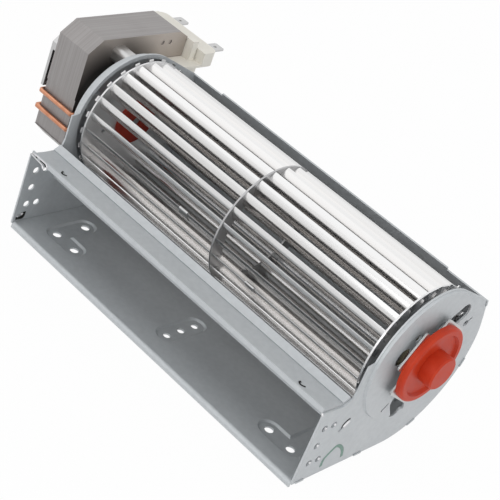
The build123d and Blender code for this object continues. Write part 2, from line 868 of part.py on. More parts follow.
def ring_path(drop, inner_y, outer_y):
    """Closed wire path in a level plane, its corners cut at 45 degrees."""
    near = stack_near + ring_lift
    far = stack_far - ring_lift
    inner = axis_y + inner_y
    outer = axis_y + outer_y
    cut = ring_cut if outer > inner else -ring_cut
    with BuildLine(Plane.XY.offset(axis_z - drop)) as path:
        Polyline(
            (near, inner + cut),
            (near, outer - cut),
            (near - ring_cut, outer),
            (far + ring_cut, outer),
            (far, outer - cut),
            (far, inner + cut),
            (far + ring_cut, inner),
            (near - ring_cut, inner),
            close=True,
        )
    return path.line


with BuildPart() as front_shading_rings:
    for drop, inner_reach in (inner_ring, outer_ring):
        loop = ring_path(drop, -inner_reach, stack_step - stack_front - ring_lift)
        with BuildSketch(Plane(origin=loop @ 0, z_dir=loop % 0)):
            Circle(ring_wire_radius)
        sweep(path=loop, transition=Transition.RIGHT)
front_shading_rings.part.label = "front_shading_rings"
export_step(front_shading_rings.part, "parts/front_shading_rings.step")

with BuildPart() as rear_shading_rings:
    for drop, inner_reach in (inner_ring, outer_ring):
        loop = ring_path(-drop, inner_reach, window_start + ring_lift)
        with BuildSketch(Plane(origin=loop @ 0, z_dir=loop % 0)):
            Circle(ring_wire_radius)
        sweep(path=loop, transition=Transition.RIGHT)
rear_shading_rings.part.label = "rear_shading_rings"
export_step(rear_shading_rings.part, "parts/rear_shading_rings.step")

# Bearing brackets, each with two feet, an arm and a hub
foot_places = [polar(foot_centre, 90), polar(foot_centre, -90)]
socket_radius = bearing_radius + press_clearance
arm_height = 2 * foot_centre + foot_height
front_hub_inner = stack_near + front_hub_start
front_hub_outer = stack_near + front_hub_end
rear_hub_inner = stack_far - rear_plate_gap
rear_hub_outer = stack_far - rear_hub_end
rear_plate_back = rear_hub_inner - rear_plate_sheet

with BuildPart() as front_bearing_bracket:
    with BuildSketch(across(stack_near)):
        with Locations(*foot_places):
            RectangleRounded(bracket_width, foot_height, foot_corner)
    extrude(amount=dish_floor - stack_near)
    with BuildSketch(across(stack_near + front_arm_gap)):
        RectangleRounded(bracket_width, arm_height - 2 * foot_corner, foot_corner)
    extrude(amount=bracket_arm_sheet)
    with BuildSketch(across(front_hub_inner)):
        Circle(bracket_hub_radius)
    extrude(amount=front_hub_outer - front_hub_inner)
    with BuildSketch(across(front_hub_inner)):
        Circle(bracket_lip_radius)
    extrude(amount=bracket_lip_sheet, mode=Mode.SUBTRACT)
    with BuildSketch(across(front_hub_inner + bracket_lip_sheet)):
        Circle(socket_radius)
    extrude(amount=front_hub_end, mode=Mode.SUBTRACT)
    with BuildSketch(across(stack_near)):
        with Locations(*foot_places):
            Circle(screw_radius + press_clearance)
    extrude(amount=stack_gap, mode=Mode.SUBTRACT)
front_bearing_bracket.part.label = "front_bearing_bracket"
export_step(front_bearing_bracket.part, "parts/front_bearing_bracket.step")


def wing_sketch(low):
    """Rear bracket wing from a low edge up to its top, clear of the shading rings."""
    with BuildSketch() as wing:
        with BuildLine():
            Polyline(
                (-stack_front, low),
                (-stack_front, wing_top - wing_corner),
                (wing_corner - stack_front, wing_top),
                (wing_reach, wing_top),
                (wing_reach, wing_notch_top),
                (wing_notch_reach, wing_notch_top),
                (wing_notch_reach, low),
                close=True,
            )
        make_face()
    return wing.sketch


# The rear bracket is a pressed plate with one wing up and one wing down
with BuildPart() as rear_bearing_bracket:
    with BuildSketch(across(rear_hub_inner)):
        with PolarLocations(0, 2):
            add(wing_sketch(wing_low))
    extrude(amount=-rear_plate_sheet)
    with BuildSketch(across(stack_far)):
        with PolarLocations(0, 2):
            add(wing_sketch(wing_pad_low))
    extrude(amount=-rear_plate_gap)
    with BuildSketch(across(rear_hub_inner)):
        Circle(bracket_hub_radius)
    extrude(amount=rear_hub_outer - rear_hub_inner)
    with BuildSketch(across(rear_hub_inner)):
        Circle(bracket_lip_radius)
    extrude(amount=-bracket_lip_sheet, mode=Mode.SUBTRACT)
    with BuildSketch(across(rear_hub_inner - bracket_lip_sheet)):
        Circle(socket_radius)
    extrude(amount=-rear_hub_end, mode=Mode.SUBTRACT)
    with BuildSketch(across(stack_far)):
        with Locations(*foot_places):
            Circle(screw_radius + screw_clearance)
    extrude(amount=-rear_hub_end, mode=Mode.SUBTRACT)
rear_bearing_bracket.part.label = "rear_bearing_bracket"
export_step(rear_bearing_bracket.part, "parts/rear_bearing_bracket.step")

# Sintered motor bearings in the bracket hubs
with BuildPart() as front_motor_bearing:
    with BuildSketch(across(front_hub_inner + bracket_lip_sheet)):
        Circle(bearing_radius)
        Circle(shaft_radius + running_clearance, mode=Mode.SUBTRACT)
    extrude(amount=front_bearing_length)
front_motor_bearing.part.label = "front_motor_bearing"
export_step(front_motor_bearing.part, "parts/front_motor_bearing.step")

with BuildPart() as rear_motor_bearing:
    with BuildSketch(across(rear_hub_inner - bracket_lip_sheet)):
        Circle(bearing_radius)
        Circle(shaft_radius + running_clearance, mode=Mode.SUBTRACT)
    extrude(amount=-rear_bearing_length)
rear_motor_bearing.part.label = "rear_motor_bearing"
export_step(rear_motor_bearing.part, "parts/rear_motor_bearing.step")

# Spring clips that close the two bearing sockets
with BuildPart() as bearing_clips:
    for face, side in ((front_hub_outer, 1), (rear_hub_outer, -1)):
        with BuildSketch(across(face)):
            Circle(retainer_clip_radius)
            Circle(bracket_lip_radius, mode=Mode.SUBTRACT)
        extrude(amount=side * retainer_clip_sheet)
bearing_clips.part.label = "bearing_clips"
export_step(bearing_clips.part, "parts/bearing_clips.step")

# Screws: two long ones through the stack, two short ones inside the dish
with BuildPart() as motor_through_screws:
    with BuildSketch(across(rear_plate_back)):
        with Locations(*foot_places):
            Circle(screw_radius)
    extrude(amount=stack_near + screw_grip - rear_plate_back)
    with BuildSketch(across(rear_plate_back)):
        with Locations(*foot_places):
            Circle(screw_head_radius)
    extrude(amount=-screw_head_height)
    chamfer(
        edges().filter_by(GeomType.CIRCLE).group_by(Axis.X)[0],
        length=screw_head_corner,
    )
    with BuildSketch(across(rear_plate_back - screw_head_height)):
        with Locations(*foot_places):
            Rectangle(2 * screw_head_radius, screw_slot_width)
    extrude(amount=screw_slot_depth, mode=Mode.SUBTRACT)
motor_through_screws.part.label = "motor_through_screws"
export_step(motor_through_screws.part, "parts/motor_through_screws.step")

with BuildPart() as motor_mount_screws:
    with BuildSketch(across(dish_floor + plate_sheet)):
        with Locations(*foot_places):
            Circle(screw_radius)
    extrude(amount=-plate_sheet - mount_screw_grip)
    with BuildSketch(across(dish_floor + plate_sheet)):
        with Locations(*foot_places):
            Circle(screw_head_radius)
    extrude(amount=screw_head_height)
    chamfer(
        edges().filter_by(GeomType.CIRCLE).group_by(Axis.X)[-1],
        length=screw_head_corner,
    )
    with BuildSketch(across(dish_floor + plate_sheet + screw_head_height)):
        with Locations(*foot_places):
            Rectangle(2 * screw_head_radius, screw_slot_width)
    extrude(amount=-screw_slot_depth, mode=Mode.SUBTRACT)
motor_mount_screws.part.label = "motor_mount_screws"
export_step(motor_mount_screws.part, "parts/motor_mount_screws.step")

# Motor rotor, its shaft and the thrust washers beside it
core_near = stack_near + rotor_end_ring
core_far = stack_far - rotor_end_ring
rotor_radius = bore_radius - air_gap
with BuildPart() as rotor_core:
    with BuildSketch(across(stack_far)):
        Circle(rotor_radius)
    extrude(amount=stack_depth)
    with BuildSketch(across(core_far)):
        Circle(rotor_radius - rotor_end_step)
    extrude(amount=core_near - core_far)
    with BuildSketch(across(core_far)):
        Circle(shaft_radius + press_clearance)
    extrude(amount=core_near - core_far, mode=Mode.SUBTRACT)
rotor_core.part.label = "rotor_core"
export_step(rotor_core.part, "parts/rotor_core.step")

shaft_far = stack_far - shaft_overhang
with BuildPart() as motor_shaft:
    with BuildSketch(across(shaft_far)):
        Circle(shaft_radius)
    extrude(amount=hub_inner_face - shaft_tip_inset - shaft_far)
    chamfer(edges().filter_by(GeomType.CIRCLE), length=shaft_chamfer)
motor_shaft.part.label = "motor_shaft"
export_step(motor_shaft.part, "parts/motor_shaft.step")

with BuildPart() as thrust_washers:
    for face, side in ((core_near, 1), (core_far, -1)):
        with BuildSketch(across(face)):
            Circle(washer_radius)
            Circle(shaft_radius + press_clearance, mode=Mode.SUBTRACT)
        extrude(amount=side * washer_sheet)
thrust_washers.part.label = "thrust_washers"
export_step(thrust_washers.part, "parts/thrust_washers.step")

# Coil bobbin: tube round the core, two flanges and the terminal block
core_front = stack_back - yoke_width
flange_front = core_front - bobbin_front
flange_back = stack_back + bobbin_back
flange_half = stack_depth / 2 + bobbin_side
wall_start = stack_back + bobbin_fit
block_start = wall_start + terminal_wall_depth + terminal_seam
flange_low = bobbin_half_height - bobbin_wall
bobbin_top = Plane(origin=(stack_middle, axis_y, axis_z), x_dir=(1, 0, 0), z_dir=(0, 0, 1))


def box_sketch(half_x, y_start, y_end):
    """Rectangle seen from above, centred on the stack along X."""
    with BuildSketch() as box:
        with Locations((0, (y_start + y_end) / 2)):
            Rectangle(2 * half_x, y_end - y_start)
    return box.sketch


with BuildPart() as coil_bobbin:
    with BuildSketch(bobbin_top.offset(-bobbin_half_height)):
        add(
            box_sketch(
                stack_depth / 2 + bobbin_fit + bobbin_wall,
                core_front - bobbin_fit - bobbin_wall,
                stack_back + bobbin_fit + bobbin_wall,
            )
        )
    extrude(amount=2 * bobbin_half_height)
    for level in (-bobbin_half_height, flange_low):
        with BuildSketch(bobbin_top.offset(level)):
            add(box_sketch(flange_half, flange_front, flange_back))
            fillet(vertices(), radius=bobbin_corner)
        extrude(amount=bobbin_wall)
    with BuildSketch(bobbin_top.offset(flange_low)):
        add(box_sketch(terminal_wall_half, wall_start, wall_start + terminal_wall_depth))
    extrude(amount=terminal_wall_top - flange_low)
    with BuildSketch(bobbin_top.offset(flange_low)):
        add(box_sketch(flange_half, block_start, terminal_block_back))
        fillet(vertices().group_by(Axis.Y)[-1], radius=terminal_block_corner)
    extrude(amount=terminal_block_top - flange_low)
    with BuildSketch(bobbin_top.offset(-bobbin_half_height)):
        add(
            box_sketch(
                stack_depth / 2 + bobbin_fit, core_front - bobbin_fit, stack_back + bobbin_fit
            )
        )
    extrude(amount=2 * bobbin_half_height, mode=Mode.SUBTRACT)
    with BuildSketch(bobbin_top.offset(terminal_height - terminal_sheet / 2 - terminal_fit)):
        with Locations(*[(x, terminal_block_back - terminal_buried / 2) for x in terminal_offsets]):
            Rectangle(terminal_width + 2 * terminal_fit, terminal_buried + 2 * terminal_fit)
    extrude(amount=terminal_sheet + 2 * terminal_fit, mode=Mode.SUBTRACT)
coil_bobbin.part.label = "coil_bobbin"
export_step(coil_bobbin.part, "parts/coil_bobbin.step")

with BuildPart() as coil_winding:
    with BuildSketch(bobbin_top.offset(winding_gap - flange_low)):
        add(
            box_sketch(
                flange_half - winding_inset,
                flange_front + winding_inset,
                flange_back - winding_inset,
            )
        )
        fillet(vertices(), radius=winding_corner)
        add(
            box_sketch(
                stack_depth / 2 + bobbin_fit + bobbin_wall + winding_gap,
                core_front - bobbin_fit - bobbin_wall - winding_gap,
                stack_back + bobbin_fit + bobbin_wall + winding_gap,
            ),
            mode=Mode.SUBTRACT,
        )
    extrude(amount=2 * (flange_low - winding_gap))
coil_winding.part.label = "coil_winding"
export_step(coil_winding.part, "parts/coil_winding.step")

# Spade terminals in the bobbin's block
terminal_length = terminal_tip - terminal_block_back + terminal_buried
with BuildPart() as spade_terminals:
    with BuildSketch(bobbin_top.offset(terminal_height - terminal_sheet / 2)):
        with Locations(*[(x, terminal_tip - terminal_length / 2) for x in terminal_offsets]):
            Rectangle(terminal_width, terminal_length)
        chamfer(vertices().group_by(Axis.Y)[-1], length=terminal_nose)
        with Locations(*[(x, terminal_tip - terminal_hole_inset) for x in terminal_offsets]):
            Circle(terminal_hole_radius, mode=Mode.SUBTRACT)
    extrude(amount=terminal_sheet)
spade_terminals.part.label = "spade_terminals"
export_step(spade_terminals.part, "parts/spade_terminals.step")
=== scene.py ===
# %% [markdown]
# # Dressing a cross flow fan
# A cross flow fan is a long drum of thin blades in a curved sheet metal housing. A small motor
# turns it from one end and a rubber bush carries the other end. The solids come from the packed
# CAD model, so this lesson keeps their shapes, gives each one its finish, and adds the thin
# details that are easier to make here: the folds, gaps and marks that a solid leaves out.

import math

import bpy
from mathutils import Matrix, Vector


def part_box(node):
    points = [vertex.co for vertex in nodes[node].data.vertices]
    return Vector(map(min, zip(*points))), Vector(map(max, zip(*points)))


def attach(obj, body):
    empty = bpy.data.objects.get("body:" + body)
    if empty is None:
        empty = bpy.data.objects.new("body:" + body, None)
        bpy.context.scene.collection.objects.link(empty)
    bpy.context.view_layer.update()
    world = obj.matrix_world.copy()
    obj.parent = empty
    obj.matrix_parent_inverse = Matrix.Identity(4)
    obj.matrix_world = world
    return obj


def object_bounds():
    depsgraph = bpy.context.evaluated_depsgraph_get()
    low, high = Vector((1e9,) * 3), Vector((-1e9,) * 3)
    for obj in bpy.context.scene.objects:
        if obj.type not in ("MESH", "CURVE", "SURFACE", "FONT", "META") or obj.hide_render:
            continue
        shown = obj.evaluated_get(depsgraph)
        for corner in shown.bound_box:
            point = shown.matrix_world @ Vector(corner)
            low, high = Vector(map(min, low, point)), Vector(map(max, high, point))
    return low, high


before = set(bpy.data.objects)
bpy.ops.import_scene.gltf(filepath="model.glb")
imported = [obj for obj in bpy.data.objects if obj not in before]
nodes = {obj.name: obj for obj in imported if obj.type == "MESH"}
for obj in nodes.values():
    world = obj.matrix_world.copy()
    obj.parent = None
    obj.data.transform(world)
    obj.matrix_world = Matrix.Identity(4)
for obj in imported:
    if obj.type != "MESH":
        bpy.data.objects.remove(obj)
cad_low, cad_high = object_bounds()
MM = 0.001
print("CAD nodes:", len(nodes))
print("CAD box, mm:", [round(v / MM, 1) for v in (cad_high - cad_low)])

# %% [markdown]
# ## Where the axis is
# Nearly everything on this fan is measured from the rotor axis. The axis runs along X, 28.9 mm
# behind the middle floor hole and 48.8 mm above the pads. The box of the middle ring gives the
# same two numbers, so they are read from it and nothing has to be typed twice.

# %% Find the rotor axis
ring_low, ring_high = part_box("mid_ring")
axis = (ring_low + ring_high) / 2
axis.x = 0
print("axis, mm:", [round(v / MM, 2) for v in axis])


def at(x, y, z):
    """A point given in millimetres from the rotor axis, in metres in the model's frame."""
    return Vector((x * MM, axis.y + y * MM, axis.z + z * MM))


# %% [markdown]
# ## The camera
# The photograph looks down on the bearing end from the front right. A long lens keeps the drum
# from tapering much. The camera was also held with a tilt, which a roll about its own line of
# sight repeats: the fan then runs from the top left corner to the bottom right one.

# %% Place the camera
camera_data = bpy.data.cameras.new("camera")
camera = bpy.data.objects.new("camera", camera_data)
bpy.context.scene.collection.objects.link(camera)
bpy.context.scene.camera = camera
LENS_MM = 102.68
SENSOR_MM = 36.0
LINE_OF_SIGHT = Vector((-0.473585, 0.721745, -0.504779))
TILT_DEGREES = 21.716
camera_data.lens = LENS_MM
camera_data.sensor_width = SENSOR_MM
camera.location = at(285.05, -436.89, 292.08)
aim = LINE_OF_SIGHT.to_track_quat("-Z", "Y").to_matrix()
roll = Matrix.Rotation(math.radians(TILT_DEGREES), 3, "Z")
camera.rotation_euler = (aim @ roll).to_euler()
print("camera distance to the axis, mm:", round((camera.location - axis).length / MM))

# %% [markdown]
# ## Floor and white surroundings
# The photograph is a cut-out on white with hardly any shadow. Turning the lamps up until the
# floor clips would also bleach the fan, so the white comes another way. The Light Path node
# tells camera, mirror and see-through rays from the rays that light things. The first three
# see white, and the rest see a softer grey world. The floor mixes most of that white with
# plain paint, so it keeps a faint shadow.

# %% Lay the floor and the white surroundings
def leave_nothing_selected():
    """Operators act on what is selected, so each step starts from nothing."""
    if bpy.context.object and bpy.context.object.mode != "OBJECT":
        bpy.ops.object.mode_set(mode="OBJECT")
    bpy.ops.object.select_all(action="DESELECT")


def looking_rays(tree):
    """1 for rays that show the surroundings, 0 for rays that only carry light."""
    rays = tree.nodes.new("ShaderNodeLightPath")
    first = tree.nodes.new("ShaderNodeMath")
    second = tree.nodes.new("ShaderNodeMath")
    first.operation = second.operation = "MAXIMUM"
    tree.links.new(rays.outputs["Is Camera Ray"], first.inputs[0])
    tree.links.new(rays.outputs["Is Glossy Ray"], first.inputs[1])
    tree.links.new(first.outputs[0], second.inputs[0])
    tree.links.new(rays.outputs["Is Transmission Ray"], second.inputs[1])
    return second.outputs[0]


FLOOR_SIZE = 6
FLOOR_GAP = 0.2 * MM
FLOOR_PAINT = 0.86
FLOOR_WHITE = 0.97
WORLD_STRENGTH = 0.55

leave_nothing_selected()
bpy.ops.mesh.primitive_plane_add(size=FLOOR_SIZE, location=(0, 0, cad_low.z - FLOOR_GAP))
floor = bpy.context.object
floor.name = "floor"

floor_paint = bpy.data.materials.new("floor_paint")
floor_paint.use_nodes = True
tree = floor_paint.node_tree
paint = tree.nodes["Principled BSDF"]
paint.inputs["Base Color"].default_value = (FLOOR_PAINT, FLOOR_PAINT, FLOOR_PAINT, 1)
paint.inputs["Roughness"].default_value = 0.9
glow = tree.nodes.new("ShaderNodeEmission")
glow.inputs["Color"].default_value = (1, 1, 1, 1)
share = tree.nodes.new("ShaderNodeMath")
share.operation = "MULTIPLY"
share.inputs[1].default_value = FLOOR_WHITE
mix = tree.nodes.new("ShaderNodeMixShader")
tree.links.new(looking_rays(tree), share.inputs[0])
tree.links.new(share.outputs[0], mix.inputs["Fac"])
tree.links.new(paint.outputs[0], mix.inputs[1])
tree.links.new(glow.outputs[0], mix.inputs[2])
tree.links.new(mix.outputs[0], tree.nodes["Material Output"].inputs["Surface"])
floor.data.materials.append(floor_paint)

world = bpy.data.worlds.new("studio")
bpy.context.scene.world = world
world.use_nodes = True
tree = world.node_tree
back = tree.nodes["Background"]
back.inputs["Color"].default_value = (0.97, 0.98, 1.0, 1)
back.inputs["Strength"].default_value = WORLD_STRENGTH
white = tree.nodes.new("ShaderNodeBackground")
white.inputs["Color"].default_value = (1, 1, 1, 1)
mix = tree.nodes.new("ShaderNodeMixShader")
tree.links.new(looking_rays(tree), mix.inputs["Fac"])
tree.links.new(back.outputs[0], mix.inputs[1])
tree.links.new(white.outputs[0], mix.inputs[2])
tree.links.new(mix.outputs[0], tree.nodes["World Output"].inputs["Surface"])
print("floor and world are white to camera, mirror and see-through rays")

# %% [markdown]
# ## Soft boxes
# The grey world gives a bit more than half of full white from all round. Four soft boxes add
# the rest on the sides that face them, so a colour renders about as it is written. One hangs
# overhead, one in front lights the lip and the duct, one at the right lights the bearing end
# plate, and a weak one at the front left rounds the motor. All are wide, because a bright blade
# mirrors a small lamp as a white patch. What a box does to a matt white face square to it is its
# own brightness times the share of the face's sky that it fills.

# %% Set out the soft boxes
def facing_white(width, height, reach, power):
    """How light a box makes a matt white face square to it, where 1 is full white."""
    brightness = power / (math.pi * width * height)
    sky_share = 0
    for side, other in ((width, height), (height, width)):
        slant = math.hypot(1, side / 2 / reach)
        sky_share += side / reach / slant * math.atan(other / 2 / reach / slant) / math.pi
    return brightness * sky_share


def soft_box(name, place, width, height, power):
    """An area lamp that faces the rotor axis. Sizes in metres, power in watts."""
    lamp_data = bpy.data.lights.new(name, "AREA")
    lamp_data.shape = "RECTANGLE"
    lamp_data.size = width
    lamp_data.size_y = height
    lamp_data.energy = power
    lamp = bpy.data.objects.new(name, lamp_data)
    bpy.context.scene.collection.objects.link(lamp)
    lamp.location = place
    lamp.rotation_euler = (axis - lamp.location).to_track_quat("-Z", "Y").to_euler()
    reach = (axis - lamp.location).length
    print(name, "gives a facing white", round(facing_white(width, height, reach, power), 2))


soft_box("overhead", (-0.1, 0.1, 0.9), 2.8, 2.2, 4.6)
soft_box("right", (0.95, -0.05, 0.4), 0.9, 0.9, 1.6)
soft_box("front", (0.12, -0.97, 0.3), 0.9, 0.6, 2.9)
soft_box("front_left", (-0.5, -0.55, 0.78), 1.3, 1.3, 0.7)

bpy.context.scene.view_settings.view_transform = "Standard"

# %% [markdown]
# ## A small kit for finishes
# Each finish is a set of nodes on the Principled shader. Small helpers do most of the work. One
# starts a material, one gives a noise pattern that can be stretched along an axis, and two turn
# a pattern into a range of values or colours. Two more lay a dull film over a colour and say how
# far a point is from the rotor axis. Most finishes let one pattern drive both the colour and the
# roughness, so even_finish does that in a single call.

# %% Helpers for finishes
def start_finish(name, metallic):
    """A new material, its node tree and its Principled shader."""
    finish = bpy.data.materials.new(name)
    finish.use_nodes = True
    shader = finish.node_tree.nodes["Principled BSDF"]
    shader.inputs["Metallic"].default_value = metallic
    return finish, finish.node_tree, shader


def noise(tree, scale, stretch=(1, 1, 1), detail=4.0, seed=(0, 0, 0)):
    """Noise on the piece's own coordinates. A small stretch value makes long marks."""
    where = tree.nodes.new("ShaderNodeTexCoord")
    mapping = tree.nodes.new("ShaderNodeMapping")
    mapping.inputs["Scale"].default_value = stretch
    mapping.inputs["Location"].default_value = seed
    pattern = tree.nodes.new("ShaderNodeTexNoise")
    pattern.inputs["Scale"].default_value = scale
    pattern.inputs["Detail"].default_value = detail
    tree.links.new(where.outputs["Object"], mapping.inputs["Vector"])
    tree.links.new(mapping.outputs["Vector"], pattern.inputs["Vector"])
    return pattern.outputs["Fac"]


def spread(tree, value, low, high, start=0.3, end=0.7):
    """Map a pattern onto a range of numbers."""
    ramp = tree.nodes.new("ShaderNodeMapRange")
    ramp.inputs["From Min"].default_value = start
    ramp.inputs["From Max"].default_value = end
    ramp.inputs["To Min"].default_value = low
    ramp.inputs["To Max"].default_value = high
    tree.links.new(value, ramp.inputs["Value"])
    return ramp.outputs["Result"]


def tint(tree, value, dark, light, start=0.3, end=0.7):
    """Map a pattern onto two colours."""
    ramp = tree.nodes.new("ShaderNodeValToRGB")
    ramp.color_ramp.elements[0].position = start
    ramp.color_ramp.elements[1].position = end
    ramp.color_ramp.elements[0].color = (*dark, 1)
    ramp.color_ramp.elements[1].color = (*light, 1)
    tree.links.new(value, ramp.inputs["Fac"])
    return ramp.outputs["Color"]


def from_axis(tree, near, far):
    """0 at one distance from the rotor axis and 1 at another, both in millimetres."""
    where = tree.nodes.new("ShaderNodeTexCoord")
    centred = tree.nodes.new("ShaderNodeMapping")
    centred.vector_type = "TEXTURE"
    centred.inputs["Location"].default_value = (0, axis.y, axis.z)
    flat = tree.nodes.new("ShaderNodeVectorMath")
    flat.operation = "MULTIPLY"
    flat.inputs[1].default_value = (0, 1, 1)
    reach = tree.nodes.new("ShaderNodeVectorMath")
    reach.operation = "LENGTH"
    tree.links.new(where.outputs["Object"], centred.inputs["Vector"])
    tree.links.new(centred.outputs["Vector"], flat.inputs[0])
    tree.links.new(flat.outputs["Vector"], reach.inputs[0])
    return spread(tree, reach.outputs["Value"], 0, 1, near * MM, far * MM)


def dull(tree, colour, film, amount):
    """Lay a film of another colour over a colour by an amount from 0 to 1."""
    mix = tree.nodes.new("ShaderNodeMix")
    mix.data_type = "RGBA"
    tree.links.new(amount, mix.inputs["Factor"])
    tree.links.new(colour, mix.inputs["A"])
    mix.inputs["B"].default_value = (*film, 1)
    return mix.outputs["Result"]


def even_finish(name, metallic, pattern, dark, light, rough, specular=0.5):
    """One noise pattern drives both the colour and the roughness."""
    finish, tree, shader = start_finish(name, metallic)
    value = noise(tree, *pattern)
    tree.links.new(tint(tree, value, dark, light), shader.inputs["Base Color"])
    tree.links.new(spread(tree, value, *rough), shader.inputs["Roughness"])
    shader.inputs["Specular IOR Level"].default_value = specular
    return finish


def dress(names, finish):
    """Give CAD nodes a finish."""
    for name in names:
        node = nodes[name]
        node.data.materials.clear()
        node.data.materials.append(finish)
    print(finish.name, "is on", ", ".join(names))


# %% [markdown]
# ## Zinc coated sheet
# The housing is zinc coated steel, a soft neutral grey. New zinc has very fine crystals, so it
# scatters light more than chrome does, and at arm's length it looks nearly even. Long rolling
# marks and faint handling smears show where the roughness changes, not where the colour does.
# The finish therefore keeps one narrow range of grey and puts most of its detail in roughness.

# %% Zinc coated sheet
zinc_sheet, tree, shader = start_finish("zinc_sheet", 0.25)
spangle = noise(tree, 420, (1, 1, 1), 2)
colour = tint(tree, spangle, (0.495, 0.518, 0.532), (0.535, 0.558, 0.572))
tree.links.new(colour, shader.inputs["Base Color"])
smears = noise(tree, 26, (0.35, 1, 1), 3, (3.1, 0.4, 1.7))
tree.links.new(spread(tree, smears, 0.38, 0.50), shader.inputs["Roughness"])
dress(["scroll_casing", "motor_end_plate", "bearing_end_plate", "stabiliser"], zinc_sheet)

# %% [markdown]
# ## Bright aluminium
# The blades are bright rolled aluminium foil stock, almost a mirror along the roll and softer
# across it. A blade is smooth, so no relief is used: it would break the long clean reflections
# that make this fan look like it does. Very long, thin streaks in the roughness are enough. The
# tips keep the clean colour, and a warmer, duller colour comes in from the tip towards the root
# as painted shade, for the shade deep inside the drum.

# %% Bright aluminium
BLADE_TIP = 29.8  # mm from the rotor axis
BLADE_ROOT = 26.0
bright_aluminium, tree, shader = start_finish("bright_aluminium", 1.0)
streaks = noise(tree, 700, (0.004, 1, 1), 3)
tree.links.new(spread(tree, streaks, 0.19, 0.25), shader.inputs["Roughness"])
cast = noise(tree, 60, (0.05, 1, 1), 2, (0.2, 5.0, 2.0))
polished = tint(tree, cast, (0.66, 0.665, 0.67), (0.72, 0.715, 0.71))
# Painted shade: darker and warmer from the tip towards the root.
root_shade = from_axis(tree, BLADE_TIP, BLADE_ROOT)
root_shade_film = (0.62, 0.60, 0.585)
tree.links.new(dull(tree, polished, root_shade_film, root_shade), shader.inputs["Base Color"])
dress(["impeller_blades"], bright_aluminium)

# %% [markdown]
# ## Mill finish aluminium
# The discs and the middle ring are thicker stock with a dull mill finish. The ring sits deep in
# the drum and stays grey between the bright blades, so its grey is painted darker than the
# discs', as painted shade.

# %% Mill finish aluminium
# shaded_aluminium is the same metal as the discs, painted darker as shade.
mill_greys = {"mill_aluminium": 0.68, "shaded_aluminium": 0.42}
mill_parts = {
    "mill_aluminium": ["motor_end_disc", "bearing_end_disc"],
    "shaded_aluminium": ["mid_ring"],
}
for name, grey in mill_greys.items():
    darker, lighter = [(shade, shade, shade * 1.01) for shade in (grey - 0.03, grey + 0.03)]
    rolled = (240, (1, 0.1, 1), 2)
    dress(mill_parts[name], even_finish(name, 0.8, rolled, darker, lighter, (0.30, 0.42)))

# %% [markdown]
# ## Red silicone
# The bush and the drive hub are moulded silicone rubber, a warm red with a soft sheen and a
# slight bloom. The part of the bush behind the end plate shows through the openings beside it,
# and there the red turns to a dark, dull olive.

# %% Red silicone
BUSH_SEAT = 90.1  # mm along the rotor axis
BUSH_FADE = 0.3
red_silicone, tree, shader = start_finish("red_silicone", 0.0)
bloom = noise(tree, 220)
clean_red = tint(tree, bloom, (0.49, 0.035, 0.010), (0.55, 0.046, 0.014))
where = tree.nodes.new("ShaderNodeTexCoord")
along = tree.nodes.new("ShaderNodeSeparateXYZ")
tree.links.new(where.outputs["Object"], along.inputs["Vector"])
behind = spread(
    tree, along.outputs["X"], 1, 0, (BUSH_SEAT - BUSH_FADE) * MM, BUSH_SEAT * MM
)
olive = (0.12, 0.108, 0.07)
tree.links.new(dull(tree, clean_red, olive, behind), shader.inputs["Base Color"])
tree.links.new(spread(tree, bloom, 0.38, 0.50), shader.inputs["Roughness"])
shader.inputs["Specular IOR Level"].default_value = 0.2
dress(["bearing_bush"], red_silicone)

# %% [markdown]
# ## Red silicone in painted shade
# The drive hub is the same rubber, but it sits inside the drum where little light comes in. Its
# red is painted darker as shade, and it is quite matt.

# %% Red silicone in painted shade
dark, light = (0.22, 0.018, 0.009), (0.30, 0.028, 0.014)
# Painted shade: the hub's red is darker for the dim inside of the drum.
shaded_silicone = even_finish("shaded_silicone", 0.0, (160,), dark, light, (0.54, 0.66), 0.3)
dress(["drive_hub"], shaded_silicone)

# %% [markdown]
# ## Core steel
# The motor core is a pack of thin stamped sheets. From the side their edges run together into
# a fine satin grain across the pack. The flat faces that look along +X are one whole sheet,
# lighter and warmer. Towards the rotor a nearly black painted shade comes over these flat faces
# alone, for the shadow between the core and the motor end plate's dish.

# %% Core steel
SHADE_START = 34  # mm from the rotor axis
SHADE_FULL = 17
core_steel, tree, shader = start_finish("core_steel", 0.55)
sheets = noise(tree, 1400, (1, 0.012, 0.012), 1)
grain = tint(tree, sheets, (0.275, 0.26, 0.255), (0.325, 0.31, 0.305))
normal = tree.nodes.new("ShaderNodeTexCoord")
facing = tree.nodes.new("ShaderNodeSeparateXYZ")
tree.links.new(normal.outputs["Normal"], facing.inputs["Vector"])
# Painted shade: nearly black towards the rotor, on the +X flat faces only.
rotor_shade = tree.nodes.new("ShaderNodeMath")
rotor_shade.operation = "MULTIPLY"
tree.links.new(from_axis(tree, SHADE_START, SHADE_FULL), rotor_shade.inputs[0])
flat_side = spread(tree, facing.outputs["X"], 0, 1, 0.8, 0.95)
tree.links.new(flat_side, rotor_shade.inputs[1])
face = dull(tree, grain, (0.46, 0.41, 0.37), flat_side)
shaded_face = dull(tree, face, (0.035, 0.032, 0.03), rotor_shade.outputs["Value"])
tree.links.new(shaded_face, shader.inputs["Base Color"])
oxide = noise(tree, 70)
tree.links.new(spread(tree, oxide, 0.40, 0.54), shader.inputs["Roughness"])
dress(["lamination_stack", "coil_core", "rotor_core"], core_steel)

# %% [markdown]
# ## Copper
# The shading rings are bare copper wire, bent and brazed shut, with a slight brown tarnish.

# %% Copper
copper = even_finish("copper", 1.0, (300,), (0.48, 0.205, 0.12), (0.66, 0.33, 0.21), (0.36, 0.24))
dress(["front_shading_rings", "rear_shading_rings"], copper)

# %% [markdown]
# ## Cream nylon
# The bobbin and its terminal block are glass filled nylon in its natural cream, with a matt
# moulded skin.

